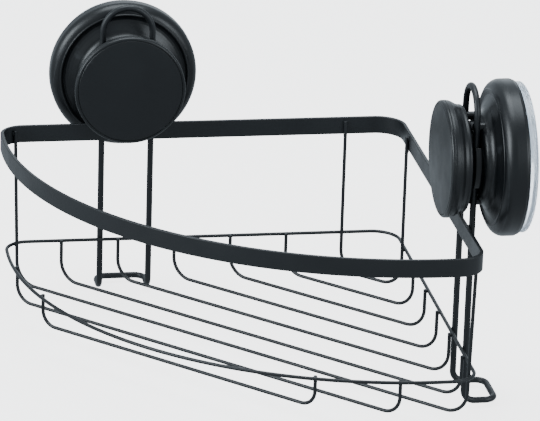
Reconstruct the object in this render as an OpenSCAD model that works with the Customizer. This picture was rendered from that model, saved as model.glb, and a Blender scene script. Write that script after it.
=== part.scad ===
// Corner shower caddy: a wire basket on two twist-lock suction cups.
// Millimetres, +Z up. The origin is where the two walls meet, level with the
// underside of the hanger feet: wall A is the plane Y = 0, wall B is X = 0,
// and the caddy lies in the quarter where X and Y are negative.

/* [Frame] */
// Length of each straight side, from the sharp corner to the front arc
leg_len = 230; // [220:1:240]
// Underside of the hanger feet to the top of the rim
frame_h = 102; // [101:0.5:106]
// Height of the flat rim bar
band_h = 10; // [8:0.5:12]
// Thickness of the rim bar, and diameter of the ring and basket wires
wire_d = 2; // [1.8:0.1:2.2]
// Radius of the back corner
back_r = 16; // [14:1:20]
// Radius of the two front corners
front_r = 14; // [13:1:18]
// How far the centre of the front arc lies inside the back corner, each way
arc_in = 20.4; // [18:0.2:24]
// How much shorter the ring's sides are than the rim's
ring_short = 3; // [2:0.5:5]

/* [Basket] */
// Top of the rim to the centre of the lower ring
ring_drop = 70; // [66:1:74]
// Top of the rim to the centre of the floor wires
floor_drop = 92.5; // [88:0.5:94]
// Distance from the back corner to the first wire, along a side
first_wire = 35.6; // [34:0.2:38]
// Distance between wires, along a side
wire_pitch = 32.4; // [31:0.2:33]
// Distance from the back corner to the last full-height wire, along a side
last_wire = 225.4; // [224:0.2:228]
// Distance from the back corner to the two low front wires, along a side
front_wires = [266, 300]; // [255:1:305]
// Centre of the lower ring to the floor run of each front wire
front_drops = [19, 16.5]; // [15:0.5:23]
// Bend radius at the foot of each basket wire
wire_bend = 13; // [8:0.5:14]

/* [Hangers] */
// Hanger wire diameter
hanger_d = 3.5; // [3:0.1:3.8]
// Distance between the two legs of a hanger, centre to centre
hanger_w = 28; // [28:0.5:30]
// Hanger centre to the back corner on wall A
hanger_a_at = 158; // [150:1:170]
// Hanger centre to the back corner on wall B
hanger_b_at = 168; // [150:1:175]
// Height of the arch centre above the top of the rim, hanger on wall A
arch_a_z = 52.6; // [50:0.2:60]
// Height of the arch centre above the top of the rim, hanger on wall B
arch_b_z = 58.6; // [56:0.2:64]
// Frame's outer face to the centre of the foot's wall bar
foot_out = 19.5; // [17:0.5:22]
// Bend radius of the feet
foot_bend = 6; // [5:0.5:7]

/* [Suction cups] */
// Frame's outer face to the wall, pad released
wall_gap = 30; // [30:0.5:32]
// Cup axis above the top of the rim on wall A
cup_a_z = 22.9; // [18:0.1:28]
// Cup axis above the top of the rim on wall B
cup_b_z = 32.8; // [24:0.1:33]
// Widest diameter of the cup housing
cup_d = 83.6; // [83:0.2:86]
// Widest diameter of the knob
knob_d = 62.4; // [61:0.2:64]
// Front of the knob's rim to the frame's outer face
knob_out = 14; // [13.6:0.1:15]
// Diameter of the neck that passes through the hanger
neck_d = 23.2; // [22:0.1:23.4]

/* [Hidden] */
$fn = 48;

metal_black = [0.16, 0.17, 0.18];
plastic_black = [0.12, 0.13, 0.14];

rim_z = frame_h;
ring_z = rim_z - ring_drop;
floor_z = rim_z - floor_drop;
// Centre of a basket wire that touches the inside of the rim or the ring
wire_in = 1.5 * wire_d;

// Suction cup, distances from the frame's outer face towards the wall
neck_front = -1.4;
plateau_t = 4;
plateau_r = 25;
collar_front = 0.6;
collar_r = 19.8;
leg_clearance = 0.3;
rear_t = 25.5;
recess_t = 21.3;
skirt_r = cup_d / 2 - 1.4;
stud_r = 4;
stud_tip = -8.6;
stud_bore_r = 4.4;
square_w = 9;
square_hole_w = 9.2;
square_front = 8;
square_hole_front = 4.2;
hub_r = 9.5;
hub_rear = 16;
peg_x = 9.4;
peg_z = 20.5;
peg_r = 2.3;
peg_tip = 0.6;
peg_root = 8.6;
washer_t = 0.8;
washer_r = 9.4;
knob_rear = -2.25;
knob_front = -knob_out;
cap_r = 29.45;
cap_seat = knob_front + 1.6;
cap_dome = 1;
nut_af = 13;
nut_len = 6;
nut_rear = -4.4;
nut_bore_r = 4.05;
pad_r = skirt_r - 0.3;
pad_front = 25.1;
pad_skin = 1.5;
boss_r = 15;
boss_front = 23.5;
plate_r = 12.5;
plate_front = 25;
plate_t = 2;

// ---- outline of the rim and the ring ----
// In the frame's own plan the sharp back corner is at [0, 0], side A runs
// along -X and side B along -Y. len is a side's length. Places where runs of
// wire meet are kept to round numbers, so that their ends lie together.
function tidy(x) = round(x * 100) / 100;
function front_x(len) =
    let (r = norm([len - arc_in, arc_in]) - front_r)
        tidy(-arc_in - sqrt(pow(r, 2) - pow(arc_in - front_r, 2)));
function arc_r(len) = front_r + norm([front_x(len) + arc_in, arc_in - front_r]);
function meet_angle(len) = atan2(arc_in - front_r, front_x(len) + arc_in);

// The flat outline, inset by "inset"
module plan(len, inset) {
    turn = meet_angle(len);
    reach = 3 * front_r;
    corners = [[front_x(len), -front_r], [-front_r, front_x(len)]];
    difference() {
        intersection() {
            translate([-arc_in, -arc_in]) circle(arc_r(len) - inset, $fn = 96);
            translate([-2 * len - inset, -2 * len - inset]) square(2 * len);
        }
        translate([-back_r, -back_r]) square(back_r);
        for (flip = [0, 1]) mirror([flip, -flip]) translate(corners[0])
            polygon([[0, 0], [0, reach], [-reach, reach], reach * [cos(turn), sin(turn)]]);
    }
    translate([-back_r, -back_r]) circle(back_r - inset);
    for (c = corners) translate(c) circle(front_r - inset);
}

// Round wire bent round part of a circle
module bend(centre, r, from, to) {
    translate(centre) rotate([0, 0, from])
        rotate_extrude(angle = to - from, $fn = 96) translate([r, 0]) circle(d = wire_d, $fn = 24);
}

module in_frame(z) {
    translate([-wall_gap, -wall_gap, z]) children();
}

module top_band() {
    color(metal_black) in_frame(rim_z - band_h) difference() {
        linear_extrude(band_h) plan(leg_len, 0);
        translate([0, 0, -1]) linear_extrude(band_h + 2) plan(leg_len, wire_d);
    }
}

module lower_ring() {
    len = leg_len - ring_short;
    in = wire_d / 2;
    turn = meet_angle(len);
    straight = -front_x(len) - back_r;
    meet = (arc_r(len) - in) * [cos(turn), sin(turn)] - [arc_in, arc_in];
    color(metal_black) in_frame(ring_z) {
        bend([-back_r, -back_r], back_r - in, 0, 90);
        bend([-arc_in, -arc_in], arc_r(len) - in, turn, 450 - turn);
        for (flip = [0, 1]) mirror([flip, -flip, 0]) {
            translate([-back_r, -in, 0]) rotate([0, -90, 0]) rod(wire_d, straight);
            bend([front_x(len), -front_r], front_r - in, 90, turn);
            // the butt weld between the corner and the arc
            translate(meet) sphere(d = wire_d + 0.1, $fn = 24);
        }
    }
}

// ---- basket wires ----
// A wire lies in the upright plane x + y = -at. Its half length is found
// where that plane meets the inset outline of the rim or ring.
function on_sides(at) = tidy(at / sqrt(2) - wire_in * sqrt(2));
function on_front_corner(at, len) =
    let (c = [front_x(len), -front_r], r = front_r - wire_in)
        tidy((c[1] - c[0] + sqrt(2 * pow(r, 2) - pow(at + c[0] + c[1], 2))) / sqrt(2));
function on_arc(at) =
    let (len = leg_len - ring_short, r = arc_r(len) - wire_in)
        tidy(sqrt(pow(r, 2) - pow(at - 2 * arc_in, 2) / 2));

module rod(d, len) {
    cylinder(d = d, h = len, $fn = 24);
}

// Upright U of round wire: half length s, floor at z = 0, tips at h. Its legs
// lean outwards by "lean" degrees.
module u_wire(s, h, lean) {
    for (side = [0, 1]) mirror([side, 0, 0]) translate([s - wire_bend, 0, wire_bend]) {
        rotate([0, lean, 0]) translate([wire_bend, 0, 0]) {
            rod(wire_d, (h - wire_bend) / cos(lean));
            if (lean > 0) sphere(d = wire_d + 0.1, $fn = 24);
        }
        rotate([90, 0, 0]) rotate([0, 0, -90])
            rotate_extrude(angle = 90 - lean, $fn = 48) translate([wire_bend, 0]) circle(d = wire_d, $fn = 24);
    }
    translate([wire_bend - s, 0, 0]) rotate([0, 90, 0]) rod(wire_d, 2 * (s - wire_bend));
}

module basket_wire(at, s, low, top, lean = 0) {
    color(metal_black) in_frame(low)
        translate([-at / 2, -at / 2, 0]) rotate([0, 0, -45]) u_wire(s, top - low, lean);
}

ring_top = ring_z + wire_d / 2;
rim_tip = rim_z - 2;

module side_wire(n) {
    at = first_wire + (n - 1) * wire_pitch;
    basket_wire(at, on_sides(at), floor_z, n == 1 ? rim_tip : ring_top);
}

// The last full-height wire leans out, from inside the ring to inside the rim
module corner_wire(at) {
    low = on_front_corner(at, leg_len - ring_short);
    high = on_front_corner(at, leg_len);
    slope = (high - low) / (rim_tip - ring_z);
    basket_wire(at, tidy(low - slope * (ring_z - floor_z - wire_bend)), floor_z, rim_tip, atan(slope));
}

module basket_wire_1() side_wire(1);
module basket_wire_2() side_wire(2);
module basket_wire_3() side_wire(3);
module basket_wire_4() side_wire(4);
module basket_wire_5() side_wire(5);
module basket_wire_6() side_wire(6);
module basket_wire_7() corner_wire(last_wire);
module front_wire(i) {
    basket_wire(front_wires[i], on_arc(front_wires[i]), ring_z - front_drops[i], ring_top);
}
module front_wire_1() front_wire(0);
module front_wire_2() front_wire(1);

// ---- places on the two walls ----
// In both, X runs along the wall, +Y points at the wall, and Y = 0 is the
// frame's outer face.
module on_wall_a(at, z) {
    translate([-wall_gap - at, -wall_gap, z]) children();
}
module on_wall_b(at, z) {
    translate([-wall_gap, -wall_gap - at, z]) rotate([0, 0, -90]) children();
}

// ---- hangers: one closed loop of thick wire each ----
module foot_corner() {
    rotate_extrude(angle = 90, $fn = 48) translate([foot_bend, 0]) circle(d = hanger_d, $fn = 24);
}

module hanger(arch_z) {
    half = hanger_w / 2;
    y_leg = hanger_d / 2;
    z_foot = hanger_d / 2;
    z_arch = rim_z + arch_z;
    color(metal_black) {
        translate([0, y_leg, z_arch]) rotate([90, 0, 0])
            rotate_extrude(angle = 180, $fn = 96) translate([half, 0]) circle(d = hanger_d, $fn = 32);
        for (side = [0, 1]) mirror([side, 0, 0]) {
            translate([half, y_leg, z_foot + foot_bend]) rod(hanger_d, z_arch - z_foot - foot_bend);
            translate([half, y_leg + foot_bend, z_foot + foot_bend])
                rotate([0, 90, 0]) rotate([0, 0, -90]) foot_corner();
            translate([half, y_leg + foot_bend, z_foot])
                rotate([-90, 0, 0]) rod(hanger_d, foot_out - y_leg - 2 * foot_bend);
            translate([half - foot_bend, foot_out - foot_bend, z_foot])
                foot_corner();
        }
        translate([foot_bend - half, foot_out, z_foot])
            rotate([0, 90, 0]) rod(hanger_d, hanger_w - 2 * foot_bend);
    }
}
module hanger_a() on_wall_a(hanger_a_at, 0) hanger(arch_a_z);
module hanger_b() on_wall_b(hanger_b_at, 0) hanger(arch_b_z);

// ---- suction cup ----
// Turned parts are drawn as [radius, distance towards the wall].
module turned(points) {
    rotate([-90, 0, 0]) rotate_extrude($fn = 96) polygon(points);
}
module bar(r, from, to) {
    translate([0, from, 0]) rotate([-90, 0, 0]) cylinder(r = r, h = to - from);
}
function arc(c, r, from, to, steps) =
    [for (i = [0:steps]) let (a = from + (to - from) * i / steps) c + r * [cos(a), sin(a)]];

// Collar round the neck, with an upright slot for each leg of the hanger
module collar() {
    slot = hanger_d + 2 * leg_clearance;
    difference() {
        turned([
            [0, collar_front], [collar_r - 1, collar_front],
            [collar_r, collar_front + 1], [collar_r, plateau_t + 0.5], [0, plateau_t + 0.5]
        ]);
        for (side = [-1, 1])
            translate([side * hanger_w / 2 - slot / 2, collar_front - 1, -collar_r - 1])
                cube([slot, plateau_t - 0.1 - collar_front + 1, 2 * collar_r + 2]);
    }
}

module housing() {
    crest_r = cup_d / 2;
    // neck, soft shoulder, shallow dish, raised bead and rounded outer band
    outer = concat(
        [[0, neck_front], [neck_d / 2, neck_front], [neck_d / 2, plateau_t]],
        arc([plateau_r - 5.5, plateau_t + 5.5], 5.5, -90, -20, 7),
        arc([plateau_r + 4.37, plateau_t + 1.91], 5, 160, 106, 5),
        [
            [crest_r - 11.3, 11.9], [crest_r - 9.6, 12.6], [crest_r - 8.2, 12.9], [crest_r - 7, 12.75],
            [crest_r - 6.3, 12.4], [crest_r - 5.8, 12.1], [crest_r - 5.2, 12.2]
        ],
        arc([crest_r - 6.2, 18.6], 6.2, -79, 0, 8),
        arc([crest_r - 1.5, 23.4], 1.5, 0, 45, 3),
        [[skirt_r + 0.7, rear_t], [0, rear_t]]
    );
    inner = [
        [hub_r, 7], [plateau_r - 2.5, 7], [plateau_r - 1.2, 10.4], [plateau_r + 2.2, 13],
        [crest_r - 6.6, 15.2], [crest_r - 3.3, 18.4], [crest_r - 3.3, recess_t],
        [skirt_r, recess_t], [skirt_r, rear_t + 1], [0, rear_t + 1], [0, hub_rear], [hub_r, hub_rear]
    ];
    color(plastic_black) difference() {
        union() {
            turned(outer);
            collar();
            for (x = [-peg_x, peg_x], z = [-peg_z, peg_z]) translate([x, 0, z]) {
                bar(peg_r, peg_tip + 0.8, peg_root);
                translate([0, peg_tip, 0]) rotate([-90, 0, 0]) cylinder(r1 = peg_r - 0.8, r2 = peg_r, h = 0.8);
            }
        }
        turned(inner);
        bar(stud_bore_r, neck_front - 1, hub_rear + 1);
        translate([-square_hole_w / 2, square_hole_front, -square_hole_w / 2])
            cube([square_hole_w, hub_rear + 1 - square_hole_front, square_hole_w]);
    }
}

module washer() {
    color("silver") difference() {
        bar(washer_r, neck_front - washer_t, neck_front);
        bar(stud_bore_r + 0.1, neck_front - washer_t - 1, neck_front + 1);
    }
}

module hexagon_bar(across_flats, from, to) {
    translate([0, from, 0]) rotate([-90, 0, 0])
        cylinder(d = across_flats / cos(30), h = to - from, $fn = 6);
}

module knob() {
    r = knob_d / 2;
    pocket = -10.2;
    outer = concat(
        [[0, knob_rear], [r - 3.6, knob_rear]],
        arc([r - 3.6, knob_rear - 1.2], 1.2, 90, 0, 4),
        [[r - 2.4, -4.6], [r - 1.9, -6.2], [r - 0.9, -7.8], [r - 0.2, -9.4], [r, -11]],
        arc([r - 1.5, knob_front + 1.5], 1.5, 0, -90, 5),
        [[cap_r + 0.05, knob_front], [cap_r + 0.05, cap_seat], [0, cap_seat]]
    );
    color(plastic_black) difference() {
        turned(outer);
        difference() {
            turned([[hub_r + 0.3, pocket], [r - 4.4, pocket], [r - 4.4, 0], [hub_r + 0.3, 0]]);
            for (a = [0:60:300]) rotate([0, a, 0])
                translate([hub_r - 0.7, pocket - 0.8, -0.8]) cube([r - hub_r - 3.4, 7.2, 1.6]);
        }
        bar(stud_bore_r, knob_front, 0);
        hexagon_bar(nut_af, knob_front, nut_rear);
    }
}

module knob_cap() {
    dome = [for (i = [0:8]) [(cap_r - 0.35) * (1 - i / 8), knob_front - 0.1 - cap_dome * sin(90 * i / 8)]];
    color(plastic_black)
        turned(concat([[0, cap_seat], [cap_r, cap_seat], [cap_r, knob_front + 0.2]], dome));
}

module nut() {
    color("goldenrod") difference() {
        hexagon_bar(nut_af, nut_rear - nut_len, nut_rear);
        bar(nut_bore_r, knob_front, 0);
    }
}

module stud() {
    color("silver") {
        bar(stud_r, stud_tip + 0.6, square_front + 0.5);
        translate([0, stud_tip, 0]) rotate([-90, 0, 0]) cylinder(r1 = stud_r - 0.6, r2 = stud_r, h = 0.6);
        translate([-square_w / 2, square_front, -square_w / 2])
            cube([square_w, plate_front + 0.5 - square_front, square_w]);
        bar(plate_r, plate_front, plate_front + plate_t);
    }
}

module pad() {
    rim_in = pad_r - 4;
    color([0.82, 0.88, 0.95, 0.5]) difference() {
        turned([
            [0, boss_front], [boss_r, boss_front], [boss_r + 1.5, wall_gap - pad_skin],
            [rim_in - 2.5, wall_gap - pad_skin], [rim_in, pad_front], [pad_r - 0.4, pad_front],
            [pad_r, pad_front + 0.4], [pad_r, wall_gap - 0.5], [pad_r - 0.5, wall_gap], [0, wall_gap]
        ]);
        translate([-square_w / 2, 0, -square_w / 2]) cube([square_w, plate_front, square_w]);
        bar(plate_r, plate_front, plate_front + plate_t);
    }
}

module cup_a() on_wall_a(hanger_a_at, rim_z + cup_a_z) children();
module cup_b() on_wall_b(hanger_b_at, rim_z + cup_b_z) children();

top_band();
lower_ring();
basket_wire_1();
basket_wire_2();
basket_wire_3();
basket_wire_4();
basket_wire_5();
basket_wire_6();
basket_wire_7();
front_wire_1();
front_wire_2();
hanger_a();
hanger_b();
cup_a() housing();  // cup_a_housing
cup_a() washer();  // cup_a_washer
cup_a() knob();  // cup_a_knob
cup_a() knob_cap();  // cup_a_knob_cap
cup_a() nut();  // cup_a_nut
cup_a() stud();  // cup_a_stud
cup_a() pad();  // cup_a_pad
cup_b() housing();  // cup_b_housing
cup_b() washer();  // cup_b_washer
cup_b() knob();  // cup_b_knob
cup_b() knob_cap();  // cup_b_knob_cap
cup_b() nut();  // cup_b_nut
cup_b() stud();  // cup_b_stud
cup_b() pad();  // cup_b_pad
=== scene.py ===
import math

import bmesh
import bpy
from mathutils import Matrix, Vector


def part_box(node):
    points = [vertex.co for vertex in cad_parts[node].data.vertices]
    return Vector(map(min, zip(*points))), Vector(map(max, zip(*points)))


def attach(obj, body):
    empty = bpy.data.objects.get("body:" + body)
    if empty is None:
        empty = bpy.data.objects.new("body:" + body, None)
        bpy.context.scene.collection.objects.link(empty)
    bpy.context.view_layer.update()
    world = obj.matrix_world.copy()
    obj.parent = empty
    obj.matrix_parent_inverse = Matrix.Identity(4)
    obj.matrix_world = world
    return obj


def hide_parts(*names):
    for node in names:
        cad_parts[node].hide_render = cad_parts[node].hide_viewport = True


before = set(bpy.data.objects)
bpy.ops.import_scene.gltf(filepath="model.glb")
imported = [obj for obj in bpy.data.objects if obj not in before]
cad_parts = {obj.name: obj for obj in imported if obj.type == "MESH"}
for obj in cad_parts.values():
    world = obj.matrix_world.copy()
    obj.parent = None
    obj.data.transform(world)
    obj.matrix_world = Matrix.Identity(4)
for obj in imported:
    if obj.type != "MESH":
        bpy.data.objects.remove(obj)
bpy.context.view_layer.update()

scene = bpy.context.scene
MM = 0.001

# ----------------------------------------------------------------- frame ----
# Sizes are in millimetres. The rim's outer back corner, its height, the ring's
# height and the cups' axes are read off the CAD.
rim_low, rim_high = (Vector(v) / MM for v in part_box("top_band"))
ring_low, ring_high = (Vector(v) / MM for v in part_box("lower_ring"))
CORNER = Vector((rim_high.x, rim_high.y, 0))
RIM_TOP, RIM_H = rim_high.z, rim_high.z - rim_low.z
RING_Z = (ring_low.z + ring_high.z) / 2
LEG, RING_SHORT, WIRE_D = 230.0, 3.0, 2.0
LEG_IN = 1.5 * WIRE_D  # outer face of the rim or ring to the axis of a leg inside it
BACK_R, FRONT_R, ARC_IN = 16.0, 14.0, 20.4
STRIP_EDGE, WIRE_TIP = 0.45, 0.3
WIRE_BEND = 13.0
FIRST_WIRE, WIRE_PITCH, LAST_WIRE = 35.6, 32.4, 225.4
FRONT_WIRES = {"front_wire_1": 266.0, "front_wire_2": 300.0}
HANGER_D, FOOT_BEND = 3.5, 6.0

# ------------------------------------------------------------------ cups ----
# t is the distance from the frame's outer face towards the wall. A profile is a
# list of (radius, t). An inset is taken off the outer radius.
BORE_R = 4.4
NECK_R, NECK_T = 11.6, -1.4
PLATEAU_R, PLATEAU_T, SHOULDER_R = 25.0, 4.0, 5.5
DISH_OUT, DISH_T, DISH_R = 4.37, 5.91, 5.0
RAISED_BEAD = [(11.3, 11.9), (9.6, 12.6), (8.2, 12.9), (7.0, 12.75), (6.3, 12.4), (5.8, 12.1), (5.2, 12.2)]
BAND_R, BAND_T = 6.2, 18.6
REAR_EDGE, REAR_T, SKIRT_IN, RECESS_T = 1.5, 25.5, 1.4, 21.3
FLOOR_T, BOSS_R, BOSS_T = 7.0, 9.5, 16.0
COLLAR_R, COLLAR_FRONT, COLLAR_BACK, COLLAR_EDGE = 19.8, 0.6, 4.5, 1.0
SLOT = (11.95, 16.05)
PEG_X, PEG_Z = 9.4, 20.5
PEG = [(0, 0.6), (1.6, 0.6), (2.3, 1.3), (2.3, 7.0), (0, 7.0)]
KNOB_REAR, KNOB_WEB, KNOB_BOSS_R, KNOB_RIM = -2.25, -10.2, 9.8, 4.4
KNOB_EDGE, KNOB_LIP = 1.2, 1.5
WAIST = [(2.4, -4.6), (1.9, -6.2), (0.9, -7.8), (0.2, -9.4), (0, -11), (0, -11.9), (0.3, -12.1)]
SPOKES, SPOKE_HALF, SPOKE_R, SPOKE_T = 6, 0.8, 9.2, (-10.6, -3.6)
CAP_REAR, CAP_FRONT, SEAT_R, CAP_R = -12.4, -14.0, 29.55, 29.45
DOME_R, DOME_T, DOME_STEPS = 29.1, -14.1, 20
PAD_GAP, PAD_FRONT, PAD_FACE, PAD_LIP = 0.3, 25.1, 30.0, 4.0
PAD_BOSS = [(0, 27.02), (12.55, 27.02), (12.55, 24.98), (4.52, 24.98), (4.52, 23.5), (15, 23.5)]
GROOVES, GROOVE_HALF, GROOVE_T = (2.2, 4.2, 6.2), 0.35, 29.72

UP, TO_WALL, ALONG_WALL = Vector((0, 0, 1)), Vector((0, 1, 0)), Vector((1, 0, 0))
DIAGONAL = Vector((1, -1, 0)).normalized()


# ---------------------------------------------------------------- places ----
def half_height(node):
    low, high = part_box(node)
    return (high.z - low.z) / MM / 2


def centre(node):
    low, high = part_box(node)
    return (Vector(low) + Vector(high)) / 2 / MM


def wall_a(node):
    """X along the wall, +Y towards it, Y = 0 at the frame's outer face."""
    c = centre(node)
    return Matrix.Translation((c.x, CORNER.y, c.z))


def wall_b(node):
    """The same for the wall at X = 0."""
    c = centre(node)
    return Matrix.Translation((CORNER.x, c.y, c.z)) @ Matrix.Rotation(-math.pi / 2, 4, "Z")


# ------------------------------------------------------------ mesh tools ----
class Shape:
    """Vertices and faces collected from several closed skins."""

    def __init__(self, *skins):
        self.verts, self.faces = [], []
        for skin in skins:
            self.add(skin)

    def add(self, skin, place=Matrix.Identity(4)):
        verts, faces = skin
        start = len(self.verts)
        self.verts += [place @ Vector(v) for v in verts]
        self.faces += [tuple(i + start for i in f) for f in faces]


def build(name, shape, body, material, replaces=(), place=Matrix.Identity(4)):
    """A mesh from millimetre vertices, riding a CAD body."""
    mesh = bpy.data.meshes.new(name)
    mesh.from_pydata([tuple((place @ v) * MM) for v in shape.verts], [], shape.faces)
    bm = bmesh.new()
    bm.from_mesh(mesh)
    bmesh.ops.remove_doubles(bm, verts=bm.verts, dist=1e-7)
    bmesh.ops.recalc_face_normals(bm, faces=bm.faces)
    for f in bm.faces:
        f.smooth = True
    bm.to_mesh(mesh)
    bm.free()
    mesh.set_sharp_from_angle(angle=math.radians(38))
    mesh.materials.append(material)
    obj = bpy.data.objects.new(name, mesh)
    scene.collection.objects.link(obj)
    smooth = obj.modifiers.new("weighted", "WEIGHTED_NORMAL")
    smooth.keep_sharp = True
    smooth.weight = 80
    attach(obj, body)
    if replaces:
        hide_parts(*replaces)


def filleted(points, radii, closed=False, step=7.5):
    """A polyline whose corners are rounded. radii is one number or one per point; step is in degrees."""
    n = len(points)
    if not isinstance(radii, list):
        radii = [radii] * n
    out = []
    for i, p in enumerate(points):
        if radii[i] <= 0 or (not closed and i in (0, n - 1)):
            out.append(p.copy())
            continue
        a, b = points[i - 1] - p, points[(i + 1) % n] - p
        half = a.angle(b) / 2
        nearly_straight = half > math.radians(89)
        if nearly_straight:
            out.append(p.copy())
            continue
        cut = min(radii[i] / math.tan(half), 0.49 * a.length, 0.49 * b.length)
        r = cut * math.tan(half)
        a.normalize()
        b.normalize()
        mid = p + (a + b).normalized() * (r / math.sin(half))
        start, end = p + a * cut - mid, p + b * cut - mid
        turn = start.angle(end)
        count = max(2, math.ceil(math.degrees(turn) / step))
        for k in range(count + 1):
            w = k / count
            spoke = start * math.sin((1 - w) * turn) + end * math.sin(w * turn)
            out.append(mid + spoke / math.sin(turn))
    return out


def frames(path, closed, up):
    """The direction of a path and one side of it, at each of its points."""
    n = len(path)
    tangents = []
    for i in range(n):
        a = path[i - 1] if closed or i else path[0]
        b = path[(i + 1) % n] if closed or i < n - 1 else path[-1]
        tangents.append((b - a).normalized())
    if up is not None:
        return tangents, [(up - t * up.dot(t)).normalized() for t in tangents]
    side = [tangents[0].orthogonal().normalized()]
    for t in tangents[1:]:
        s = side[-1]
        side.append((s - t * s.dot(t)).normalized())
    if closed:
        s = side[-1] - tangents[0] * side[-1].dot(tangents[0])
        s.normalize()
        twist = math.atan2(tangents[0].dot(s.cross(side[0])), s.dot(side[0]))
        side = [Matrix.Rotation(twist * i / n, 3, t) @ s for i, (t, s) in enumerate(zip(tangents, side))]
    return tangents, side


def swept(path, profile, closed=False, up=None, ease=0.0):
    """The profile carried along the path; open ends are closed off and eased."""
    tangents, side = frames(path, closed, up)
    rings = []
    for p, t, s in zip(path, tangents, side):
        b = t.cross(s)
        rings.append([p + s * u + b * v for u, v in profile])
    if not closed:
        r = max(math.hypot(u, v) for u, v in profile)

        def eased(i, sign):
            p, t, s = path[i], tangents[i] * sign, side[i]
            b = tangents[i].cross(s)
            cap = []
            for a in (math.pi / 2 * k / 3 for k in range(4)):
                q = p + t * (ease * (math.sin(a) - 1))
                w = (r - ease + ease * math.cos(a)) / r
                cap.append([q + s * u * w + b * v * w for u, v in profile])
            return cap

        rings = eased(0, -1)[::-1] + rings[1:-1] + eased(len(path) - 1, 1)
    m, n = len(profile), len(rings)
    faces = []
    for i in range(n if closed else n - 1):
        j = (i + 1) % n
        for k in range(m):
            l = (k + 1) % m
            faces.append((i * m + k, i * m + l, j * m + l, j * m + k))
    if not closed:
        faces += [tuple(range(m)), tuple(range((n - 1) * m, n * m))]
    return [v for ring in rings for v in ring], faces


def arc(c, r, start, end, steps):
    """Points on a circle about c, from one angle to another in degrees."""
    angles = (math.radians(start + (end - start) * k / steps) for k in range(steps + 1))
    return [(c[0] + r * math.cos(a), c[1] + r * math.sin(a)) for a in angles]


def round_profile(d, sides=24):
    return arc((0, 0), d / 2, 0, 360, sides)[:-1]


def turned(profile, segments=144, ease=0.25):
    """A profile of (radius, t) turned about local Y, its corners eased."""
    profile = [p for i, p in enumerate(profile) if math.dist(p, profile[i - 1]) > 1e-3]
    eases = [0 if r < 1e-6 else ease for r, t in profile]
    ring = filleted([Vector((r, t, 0)) for r, t in profile], eases, True, 18)
    verts, faces, index = [], [], []
    for p in ring:
        start = len(verts)
        if p.x < 1e-6:
            index.append([start] * segments)
            verts.append(Vector((0, p.y, 0)))
            continue
        index.append([start + k for k in range(segments)])
        for k in range(segments):
            a = 2 * math.pi * k / segments
            verts.append(Vector((p.x * math.cos(a), p.y, p.x * math.sin(a))))
    for a, b in zip(index, index[1:] + index[:1]):
        if a[0] == a[1] and b[0] == b[1]:
            continue
        for k in range(segments):
            l = (k + 1) % segments
            corners = (a[k], a[l], b[l], b[k])
            faces.append(tuple(dict.fromkeys(corners)))
    return verts, faces


def slab(outline, front, back, ease):
    """A convex (x, z) outline made solid between two values of t, its front edge eased."""
    points = filleted([Vector((x, 0, z)) for x, z in outline], 0.6, True, 15)
    n = len(points)
    normals = []
    for i in range(n):
        along = points[(i + 1) % n] - points[i - 1]
        normals.append(Vector((along.z, 0, -along.x)).normalized())
    middle = sum(points, Vector()) / n
    if normals[0].dot(points[0] - middle) < 0:
        normals = [-v for v in normals]
    rings = [(0.0, back)]
    for a in (math.pi / 12 * k for k in range(7)):
        rings.append((ease * (1 - math.cos(a)), front + ease * (1 - math.sin(a))))
    verts = [p - v * inset + TO_WALL * t for inset, t in rings for p, v in zip(points, normals)]
    faces = [tuple(range(n)), tuple(range(len(verts) - n, len(verts)))]
    for i in range(len(rings) - 1):
        for k in range(n):
            l = (k + 1) % n
            faces.append((i * n + k, i * n + l, (i + 1) * n + l, (i + 1) * n + k))
    return verts, faces


def bead(at, along, across, size, rows=7, sides=12, wobble=0.06):
    """A small fused blob of weld metal under the coating. size is its three half axes."""
    along = along.normalized()
    across = (across - along * across.dot(along)).normalized()
    third = along.cross(across)
    verts, faces = [], []
    for i in range(rows + 1):
        lat = math.pi * i / rows
        for k in range(sides):
            lon = 2 * math.pi * k / sides
            r = math.sin(lat) * (1 + wobble * math.sin(3 * lon + at.x + at.y) * math.sin(lat))
            verts.append(at + along * size[0] * math.cos(lat) + across * size[1] * r * math.cos(lon)
                         + third * size[2] * r * math.sin(lon))
    for i in range(rows):
        for k in range(sides):
            l = (k + 1) % sides
            faces.append((i * sides + k, i * sides + l, (i + 1) * sides + l, (i + 1) * sides + k))
    return verts, faces


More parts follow.
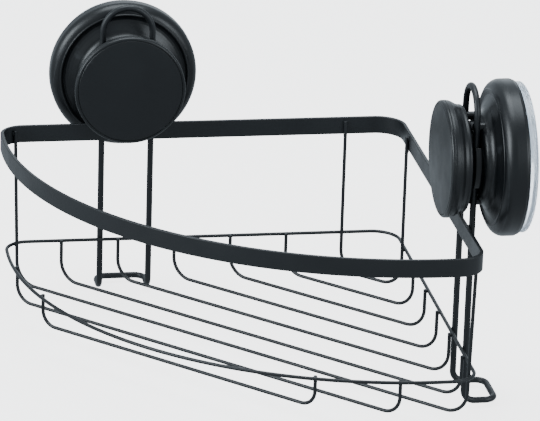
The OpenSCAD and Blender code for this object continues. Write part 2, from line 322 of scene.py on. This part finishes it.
# ------------------------------------------------------------- materials ----
class Nodes:
    """Short hand for building one shader."""

    SOCKETS = {"color": "Base Color", "rough": "Roughness", "metal": "Metallic", "ior": "IOR",
               "spec": "Specular IOR Level", "trans": "Transmission Weight"}

    def __init__(self, name):
        self.material = bpy.data.materials.new(name)
        self.material.use_nodes = True
        self.tree = self.material.node_tree
        self.shader = next(n for n in self.tree.nodes if n.type == "BSDF_PRINCIPLED")
        self.coords = self.tree.nodes.new("ShaderNodeTexCoord").outputs["Object"]

    def put(self, value, socket):
        if isinstance(value, bpy.types.NodeSocket):
            self.tree.links.new(value, socket)
        else:
            socket.default_value = value

    def node(self, kind, **inputs):
        n = self.tree.nodes.new(kind)
        for name, value in inputs.items():
            self.put(value, n.inputs[name.replace("_", " ")])
        return n

    def noise(self, scale, detail=4.0, rough=0.55):
        n = self.node("ShaderNodeTexNoise", Scale=scale, Detail=detail, Roughness=rough, Vector=self.coords)
        return n.outputs["Fac"]

    def tint(self, fac, low, high):
        """One colour to another over the middle of a noise."""
        n = self.node("ShaderNodeValToRGB", Fac=fac)
        for stop, at, colour in zip(n.color_ramp.elements, (0.3, 0.7), (low, high)):
            stop.position = at
            stop.color = (*colour, 1)
        return n.outputs["Color"]

    def span(self, fac, low, high, start=0.3, end=0.7):
        """One value to another while fac runs from start to end."""
        n = self.node("ShaderNodeMapRange", From_Min=start, From_Max=end, To_Min=low, To_Max=high, Value=fac)
        return n.outputs["Result"]

    def edge_wear_and_sheen(self, base, wear_and_sheen_tone):
        """The base colour, going over to a lighter one on outer edges, broken up by noise; the lighter edges are
        partly wear and partly a painted highlight.
        """
        # Convex edges found by pointiness get the lighter tone: partly edge wear, partly a painted highlight along
        # the edges.
        geometry = self.node("ShaderNodeNewGeometry")
        edges = self.tree.nodes.new("ShaderNodeMath")
        edges.operation = "MULTIPLY"
        self.put(self.span(geometry.outputs["Pointiness"], 0, 1, 0.54, 0.66), edges.inputs[0])
        self.put(self.span(self.noise(420, 5), 0.2, 1, 0.35, 0.65), edges.inputs[1])
        n = self.tree.nodes.new("ShaderNodeMix")
        n.data_type = "RGBA"
        for value, socket in ((edges.outputs[0], n.inputs[0]), (base, n.inputs[6]), ((*wear_and_sheen_tone, 1), n.inputs[7])):
            self.put(value, socket)
        return n.outputs[2]

    def bumps(self, *layers):
        """Layers of (height, strength, distance in metres), one over another."""
        normal = None
        for height, strength, distance in layers:
            n = self.node("ShaderNodeBump", Strength=strength, Distance=distance, Height=height)
            if normal is not None:
                self.put(normal, n.inputs["Normal"])
            normal = n.outputs["Normal"]
        self.put(normal, self.shader.inputs["Normal"])

    def finish(self, **values):
        for key, value in values.items():
            self.put(value, self.shader.inputs[self.SOCKETS[key]])
        return self.material


def powder_coat():
    m = Nodes("powder_coat")
    base = m.tint(m.noise(14, 3), (0.0040, 0.0048, 0.0058), (0.0060, 0.0070, 0.0082))
    # The lighter outer edges on the black coat are a painted highlight, not bare steel.
    colour = m.edge_wear_and_sheen(base, (0.018, 0.020, 0.022))
    m.bumps((m.noise(650, 2, 0.4), 0.30, 0.00018), (m.noise(3200, 3, 0.6), 0.16, 0.00004))
    return m.finish(color=colour, rough=m.span(m.noise(55, 4), 0.36, 0.48), spec=0.32)


def moulded(name, low, high, rough, grain):
    m = Nodes(name)
    # The lighter outer edges on the black plastic are a painted highlight.
    colour = m.edge_wear_and_sheen(m.tint(m.noise(9, 3), low, high), (0.013, 0.0145, 0.016))
    m.bumps((m.noise(4200, 3, 0.65), grain, 0.00003), (m.noise(60, 2, 0.4), 0.05, 0.0004))
    return m.finish(color=colour, rough=m.span(m.noise(70, 5), rough, rough + 0.10), spec=0.32)


def clear_pad():
    m = Nodes("clear_pad")
    colour = m.tint(m.noise(22, 3), (0.80, 0.88, 0.97), (0.87, 0.93, 1.0))
    m.bumps((m.noise(150, 2, 0.4), 0.12, 0.0003), (m.noise(2400, 2), 0.05, 0.00003))
    return m.finish(color=colour, rough=m.span(m.noise(90, 4), 0.10, 0.22), trans=0.82, ior=1.46, spec=0.5)


def metal(name, low, high, rough):
    m = Nodes(name)
    # The lighter outer edges on the metal are partly wear and partly a painted highlight.
    colour = m.edge_wear_and_sheen(m.tint(m.noise(120, 5), low, high), (0.86, 0.86, 0.84))
    m.bumps((m.noise(1800, 4, 0.7), 0.15, 0.00004))
    return m.finish(color=colour, rough=m.span(m.noise(300, 5), rough, rough + 0.16), metal=1.0)


COAT = powder_coat()
SHELL = moulded("housing_abs", (0.0018, 0.0023, 0.0029), (0.0028, 0.0034, 0.0041), 0.30, 0.20)
KNOB = moulded("knob_abs", (0.0022, 0.0028, 0.0034), (0.0032, 0.0039, 0.0047), 0.32, 0.20)
FACE = moulded("knob_face", (0.0026, 0.0032, 0.0039), (0.0038, 0.0046, 0.0054), 0.36, 0.14)
PAD = clear_pad()
ZINC = metal("zinc", (0.50, 0.51, 0.52), (0.66, 0.67, 0.68), 0.28)
BRASS = metal("brass", (0.58, 0.42, 0.18), (0.72, 0.55, 0.27), 0.26)


# ---------------------------------------------------------- rim and ring ----
def front_arc(leg):
    """Where the front bends have their centres, the front arc's radius, and a bend's turn in degrees."""
    r = math.hypot(leg - ARC_IN, ARC_IN) - FRONT_R
    bend = -ARC_IN - math.sqrt(r * r - (ARC_IN - FRONT_R) ** 2)
    radius = FRONT_R + math.hypot(bend + ARC_IN, ARC_IN - FRONT_R)
    return bend, radius, math.degrees(math.atan2(ARC_IN - FRONT_R, bend + ARC_IN))


def outline(leg, inset, z):
    """The quarter-round outline as a closed path at one height."""
    bend, radius, turn = front_arc(leg)
    straight = [(-BACK_R + (bend + BACK_R) * k / 40, -inset) for k in range(1, 40)]
    path = arc((-BACK_R, -BACK_R), BACK_R - inset, 0, 90, 24) + straight
    path += arc((bend, -FRONT_R), FRONT_R - inset, 90, turn, 24)
    path += arc((-ARC_IN, -ARC_IN), radius - inset, turn, 450 - turn, 140)[1:-1]
    path += arc((-FRONT_R, bend), FRONT_R - inset, 450 - turn, 360, 24)
    path += [(y, x) for x, y in reversed(straight)]
    return [Vector((x, y, z)) + CORNER for x, y in path]


def frame_piece(name, node, skin, place=Matrix.Identity(4)):
    build(name, Shape(skin), "frame", COAT, [node], place)


strip = filleted([Vector((u * RIM_H / 2, v * WIRE_D / 2, 0)) for u, v in ((1, 1), (-1, 1), (-1, -1), (1, -1))],
                 STRIP_EDGE, True, 18)
rim_path = outline(LEG, WIRE_D / 2, RIM_TOP - RIM_H / 2)
frame_piece("rim_strip", "top_band", swept(rim_path, [(p.x, p.y) for p in strip], True, UP))
ring_path = outline(LEG - RING_SHORT, WIRE_D / 2, RING_Z)
frame_piece("ring_wire", "lower_ring", swept(ring_path, round_profile(WIRE_D), True, UP))

# ---------------------------------------------------------- basket wires ----
beads = Shape()


def u_wire(node, at, low, high):
    """One upright U across the corner. low and high: half width at the ring and at its tips."""
    bottom, top = (v.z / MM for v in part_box(node))
    floor_z = bottom + WIRE_D / 2
    slope = (high - low) / (top - RING_Z) if high != low else 0.0
    foot = low - slope * (RING_Z - floor_z)
    mid = CORNER + Vector((-at / 2, -at / 2, 0))
    corners = [mid - DIAGONAL * high + UP * top, mid - DIAGONAL * foot + UP * floor_z,
               mid + DIAGONAL * foot + UP * floor_z, mid + DIAGONAL * high + UP * top]
    path = filleted(corners, WIRE_BEND, False, 5)
    frame_piece(node + "_wire", node, swept(path, round_profile(WIRE_D), ease=WIRE_TIP))
    return mid


def weld(point, towards, along):
    """Beads on both sides of the line where a leg touches the ring or rim."""
    towards = towards.normalized()
    spread = along.cross(towards).normalized()
    for sign in (-1, 1):
        at = point + towards * (WIRE_D / 2 - 0.15) + spread * sign * 0.55
        beads.add(bead(at, along, towards, (1.15, 0.62, 0.55)))


def on_straight(at):
    """Half width of a wire whose legs stand inside the straight sides."""
    return at / math.sqrt(2) - LEG_IN * math.sqrt(2)


def on_bend(at, leg):
    """Half width of a wire whose legs stand inside the front bends."""
    bend = front_arc(leg)[0]
    r = FRONT_R - LEG_IN
    return (-FRONT_R - bend + math.sqrt(2 * r * r - (at + bend - FRONT_R) ** 2)) / math.sqrt(2)


def on_arc(at, leg):
    """Half width of a wire whose legs stand inside the front arc."""
    r = front_arc(leg)[1] - LEG_IN
    return math.sqrt(r * r - (at - 2 * ARC_IN) ** 2 / 2)


for i in range(6):
    at = FIRST_WIRE + i * WIRE_PITCH
    s = on_straight(at)
    mid = u_wire("basket_wire_%d" % (i + 1), at, s, s)
    for side, wall in ((-1, TO_WALL), (1, ALONG_WALL)):
        leg = mid + DIAGONAL * s * side
        weld(leg + UP * RING_Z, wall, UP.cross(wall))
        if i == 0:
            weld(leg + UP * (RIM_TOP - RIM_H), wall, UP.cross(wall))
            weld(leg + UP * (RIM_TOP - 3), wall, UP)

low, high = on_bend(LAST_WIRE, LEG - RING_SHORT), on_bend(LAST_WIRE, LEG)
mid = u_wire("basket_wire_7", LAST_WIRE, low, high)
for side in (-1, 1):
    out = DIAGONAL * side
    weld(mid + out * low + UP * RING_Z, out, UP.cross(out))
    weld(mid + out * high + UP * (RIM_TOP - 4), out, UP)

for node, at in FRONT_WIRES.items():
    s = on_arc(at, LEG - RING_SHORT)
    mid = u_wire(node, at, s, s)
    for side in (-1, 1):
        leg = mid + DIAGONAL * s * side
        out = (leg - CORNER - Vector((-ARC_IN, -ARC_IN, 0))).normalized()
        weld(leg + UP * RING_Z, out, UP.cross(out))

# --------------------------------------------------------------- hangers ----
HANGER_WELDS = [(RING_Z, ALONG_WALL, (1.2, 0.6, 0.6)), (RIM_TOP - 1.2, UP, (1.5, 0.6, 0.6)),
                (RIM_TOP - RIM_H + 1.2, UP, (1.5, 0.6, 0.6))]
for node, wall in (("hanger_a", wall_a), ("hanger_b", wall_b)):
    low, high = (Vector(v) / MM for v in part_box(node))
    size = high - low
    width, depth = (size.x, size.y) if wall is wall_a else (size.y, size.x)
    wire_r = HANGER_D / 2
    half, out = (width - HANGER_D) / 2, depth - wire_r
    arch_z, foot_z = high.z - half - wire_r, low.z + wire_r
    corners = [Vector(v) for v in ((-half, wire_r, arch_z), (-half, wire_r, foot_z), (-half, out, foot_z),
                                   (half, out, foot_z), (half, wire_r, foot_z), (half, wire_r, arch_z))]
    path = filleted(corners, FOOT_BEND, False, 6)
    path += [Vector((x, wire_r, z)) for x, z in arc((0, arch_z), half, 4, 176, 43)]
    place = wall(node)
    place.translation.z = 0
    frame_piece(node + "_loop", node, swept(path, round_profile(HANGER_D, 28), True), place)
    for leg_x in (-half, half):
        for z, along, bead_size in HANGER_WELDS:
            for sign in (-1, 1):
                at = Vector((leg_x + sign * 1.05, -0.25, z))
                beads.add(bead(at, along, TO_WALL, bead_size), place)
build("weld_beads", beads, "frame", COAT)


# ---------------------------------------------------------- suction cups ----
def housing(crest):
    """Neck, soft shoulder, shallow dish, raised bead and rounded outer band, hollow behind."""
    skirt = crest - SKIRT_IN
    profile = [(NECK_R, NECK_T), (NECK_R, PLATEAU_T)]
    profile += arc((PLATEAU_R - SHOULDER_R, PLATEAU_T + SHOULDER_R), SHOULDER_R, -90, -20, 12)
    profile += arc((PLATEAU_R + DISH_OUT, DISH_T), DISH_R, 160, 106, 10)
    profile += [(crest - inset, t) for inset, t in RAISED_BEAD]
    profile += arc((crest - BAND_R, BAND_T), BAND_R, -79, 0, 14)
    profile += arc((crest - REAR_EDGE, 23.4), REAR_EDGE, 0, 45, 4)
    profile += [(skirt + 0.7, REAR_T), (skirt, REAR_T), (skirt, RECESS_T), (crest - 3.3, RECESS_T),
                (crest - 3.3, 18.4), (crest - 6.6, 15.2), (PLATEAU_R + 2.2, 13), (PLATEAU_R - 1.2, 10.4),
                (PLATEAU_R - 2.5, FLOOR_T), (BOSS_R, FLOOR_T), (BOSS_R, BOSS_T), (BORE_R, BOSS_T),
                (BORE_R, NECK_T)]
    return Shape(turned(profile, 160, 0.3))


def collar():
    """A disc round the neck, parted by a slot for each leg of the hanger, and four pegs that key the loop."""
    inner, outer = (math.degrees(math.acos(x / COLLAR_R)) for x in SLOT)
    middle = [arc((0, 0), COLLAR_R, turn + inner, turn + 180 - inner, 20) for turn in (0, 180)]
    sides = [arc((0, 0), COLLAR_R, turn - outer, turn + outer, 20) for turn in (0, 180)]
    shape = Shape()
    for part in (middle[0] + middle[1], *sides):
        shape.add(slab(part, COLLAR_FRONT, COLLAR_BACK, COLLAR_EDGE))
    for x in (-PEG_X, PEG_X):
        for z in (-PEG_Z, PEG_Z):
            shape.add(turned(PEG, 40), Matrix.Translation((x, 0, z)))
    return shape


def knob(knob_r):
    """Hollow behind and waisted, with a fine line round its side near the front and spokes inside."""
    rim_r, edge_r = knob_r - KNOB_RIM, knob_r - 3.6
    profile = [(BORE_R, KNOB_REAR), (KNOB_BOSS_R, KNOB_REAR), (KNOB_BOSS_R, KNOB_WEB), (rim_r, KNOB_WEB),
               (rim_r, KNOB_REAR), (edge_r, KNOB_REAR)]
    profile += arc((edge_r, KNOB_REAR - KNOB_EDGE), KNOB_EDGE, 90, 0, 6)
    profile += [(knob_r - inset, t) for inset, t in WAIST]
    profile += arc((knob_r - KNOB_LIP, -12.5), KNOB_LIP, 8, -90, 8)[1:]
    profile += [(SEAT_R, CAP_FRONT), (SEAT_R, CAP_REAR), (BORE_R, CAP_REAR)]
    shape = Shape(turned(profile, 160, 0.18))
    corners = [Vector((x, y, z)) for x in (SPOKE_R, knob_r - 4.0) for y in SPOKE_T for z in (-SPOKE_HALF, SPOKE_HALF)]
    quads = [(0, 1, 3, 2), (4, 6, 7, 5), (0, 4, 5, 1), (2, 3, 7, 6), (0, 2, 6, 4), (1, 5, 7, 3)]
    for k in range(SPOKES):
        shape.add((corners, quads), Matrix.Rotation(2 * math.pi * k / SPOKES, 4, "Y"))
    return shape


def knob_face():
    """The slightly domed cap in the knob's rim."""
    profile = [(0, CAP_REAR), (CAP_R, CAP_REAR), (CAP_R, -13.75)]
    for w in (k / DOME_STEPS for k in range(DOME_STEPS + 1)):
        profile.append((DOME_R * (1 - w), DOME_T - math.sin(math.pi / 2 * w)))
    return Shape(turned(profile, 160, 0.12))


def pad(pad_r):
    """Thin web, thick lip, and fine sealing grooves on the wall side."""
    lip = pad_r - PAD_LIP
    profile = PAD_BOSS + [(16.5, 28.5), (lip - 2.5, 28.5), (lip, PAD_FRONT), (pad_r - 0.4, PAD_FRONT),
                          (pad_r, 25.5), (pad_r, 29.5), (pad_r - 0.5, PAD_FACE)]
    for r in (pad_r - inset for inset in GROOVES):
        profile += [(r + GROOVE_HALF, PAD_FACE), (r, GROOVE_T), (r - GROOVE_HALF, PAD_FACE)]
    profile += [(0, PAD_FACE)]
    return Shape(turned(profile))


def cup(letter, wall):
    """The pieces of one suction cup; nut, washer and stud are the CAD shapes with new finishes."""
    name = "cup_" + letter
    place = wall(name + "_washer")
    crest = half_height(name + "_housing")
    build(name + "_shell", housing(crest), name, SHELL, [name + "_housing"], place)
    build(name + "_collar", collar(), name, SHELL, (), place)
    grip = knob(half_height(name + "_knob"))
    build(name + "_grip", grip, "knob_" + letter, KNOB, [name + "_knob"], place)
    build(name + "_face", knob_face(), "knob_" + letter, FACE, [name + "_knob_cap"], place)
    clear = pad(crest - SKIRT_IN - PAD_GAP)
    build(name + "_clear", clear, "stud_" + letter, PAD, [name + "_pad"], place)
    for part, slot, material in (("nut", "brass", BRASS), ("washer", "zinc_steel", ZINC),
                                 ("stud", "zinc_steel", ZINC)):
        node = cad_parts[name + "_" + part]
        for s in node.material_slots:
            s.material = material
        edge = node.modifiers.new("edge", "BEVEL")
        edge.width, edge.segments, edge.limit_method = 0.15 * MM, 2, "ANGLE"
        edge.angle_limit = math.radians(40)


cup("a", wall_a)
cup("b", wall_b)

# ------------------------------------------------------ floor and lights ----
floor_mesh = bpy.data.meshes.new("floor")
floor_mesh.from_pydata([(-6, -6, -0.002), (6, -6, -0.002), (6, 6, -0.002), (-6, 6, -0.002)], [], [(0, 1, 2, 3)])
floor = bpy.data.objects.new("floor", floor_mesh)
scene.collection.objects.link(floor)
pale = Nodes("floor")
pale_tint = pale.tint(pale.noise(0.6, 2), (0.45, 0.44, 0.43), (0.47, 0.46, 0.45))
pale.shader.inputs["Emission Color"].default_value = (1.0, 1.0, 1.0, 1)
pale.shader.inputs["Emission Strength"].default_value = 3.0
floor.visible_glossy = floor.visible_diffuse = False
floor_mesh.materials.append(pale.finish(color=pale_tint, rough=0.7, spec=0.2))

world = bpy.data.worlds.new("studio")
world.use_nodes = True
sky = world.node_tree.nodes["Background"]
sky.inputs["Color"].default_value = (0.80, 0.91, 1.0, 1)
sky.inputs["Strength"].default_value = 0.82
scene.world = world

MIDDLE = Vector((-0.145, -0.145, 0.08))
for name, at, size, power in (("key", (-2.0, -0.7, 1.0), 1.2, 60), ("fill", (1.3, -1.6, 0.8), 1.0, 24),
                              ("top", (-0.1, 0.1, 1.8), 1.2, 38), ("back", (0.5, 2.4, 0.5), 1.6, 7)):
    data = bpy.data.lights.new(name, "AREA")
    data.shape, data.size, data.energy = "SQUARE", size, power
    data.color = (0.86, 0.94, 1.0)
    lamp = bpy.data.objects.new(name, data)
    lamp.location = at
    lamp.rotation_euler = (MIDDLE - Vector(at)).to_track_quat("-Z", "Y").to_euler()
    scene.collection.objects.link(lamp)

# ---------------------------------------------------------------- camera ----
yaw, pitch, roll = 0.177, 0.3511, 0.0316
forward = Vector((math.sin(yaw) * math.cos(pitch), math.cos(yaw) * math.cos(pitch), -math.sin(pitch)))
level = Vector((math.cos(yaw), -math.sin(yaw), 0))
over = level.cross(forward)
right = level * math.cos(roll) + over * math.sin(roll)
up = over * math.cos(roll) - level * math.sin(roll)
camera_data = bpy.data.cameras.new("camera")
camera_data.lens, camera_data.sensor_width, camera_data.sensor_fit = 259.4, 36, "HORIZONTAL"
camera_data.clip_start, camera_data.clip_end = 0.05, 50
camera = bpy.data.objects.new("camera", camera_data)
camera.matrix_world = Matrix((right, up, -forward)).transposed().to_4x4()
camera.location = (-0.4729, -2.0908, 0.8129)
scene.collection.objects.link(camera)
scene.camera = camera
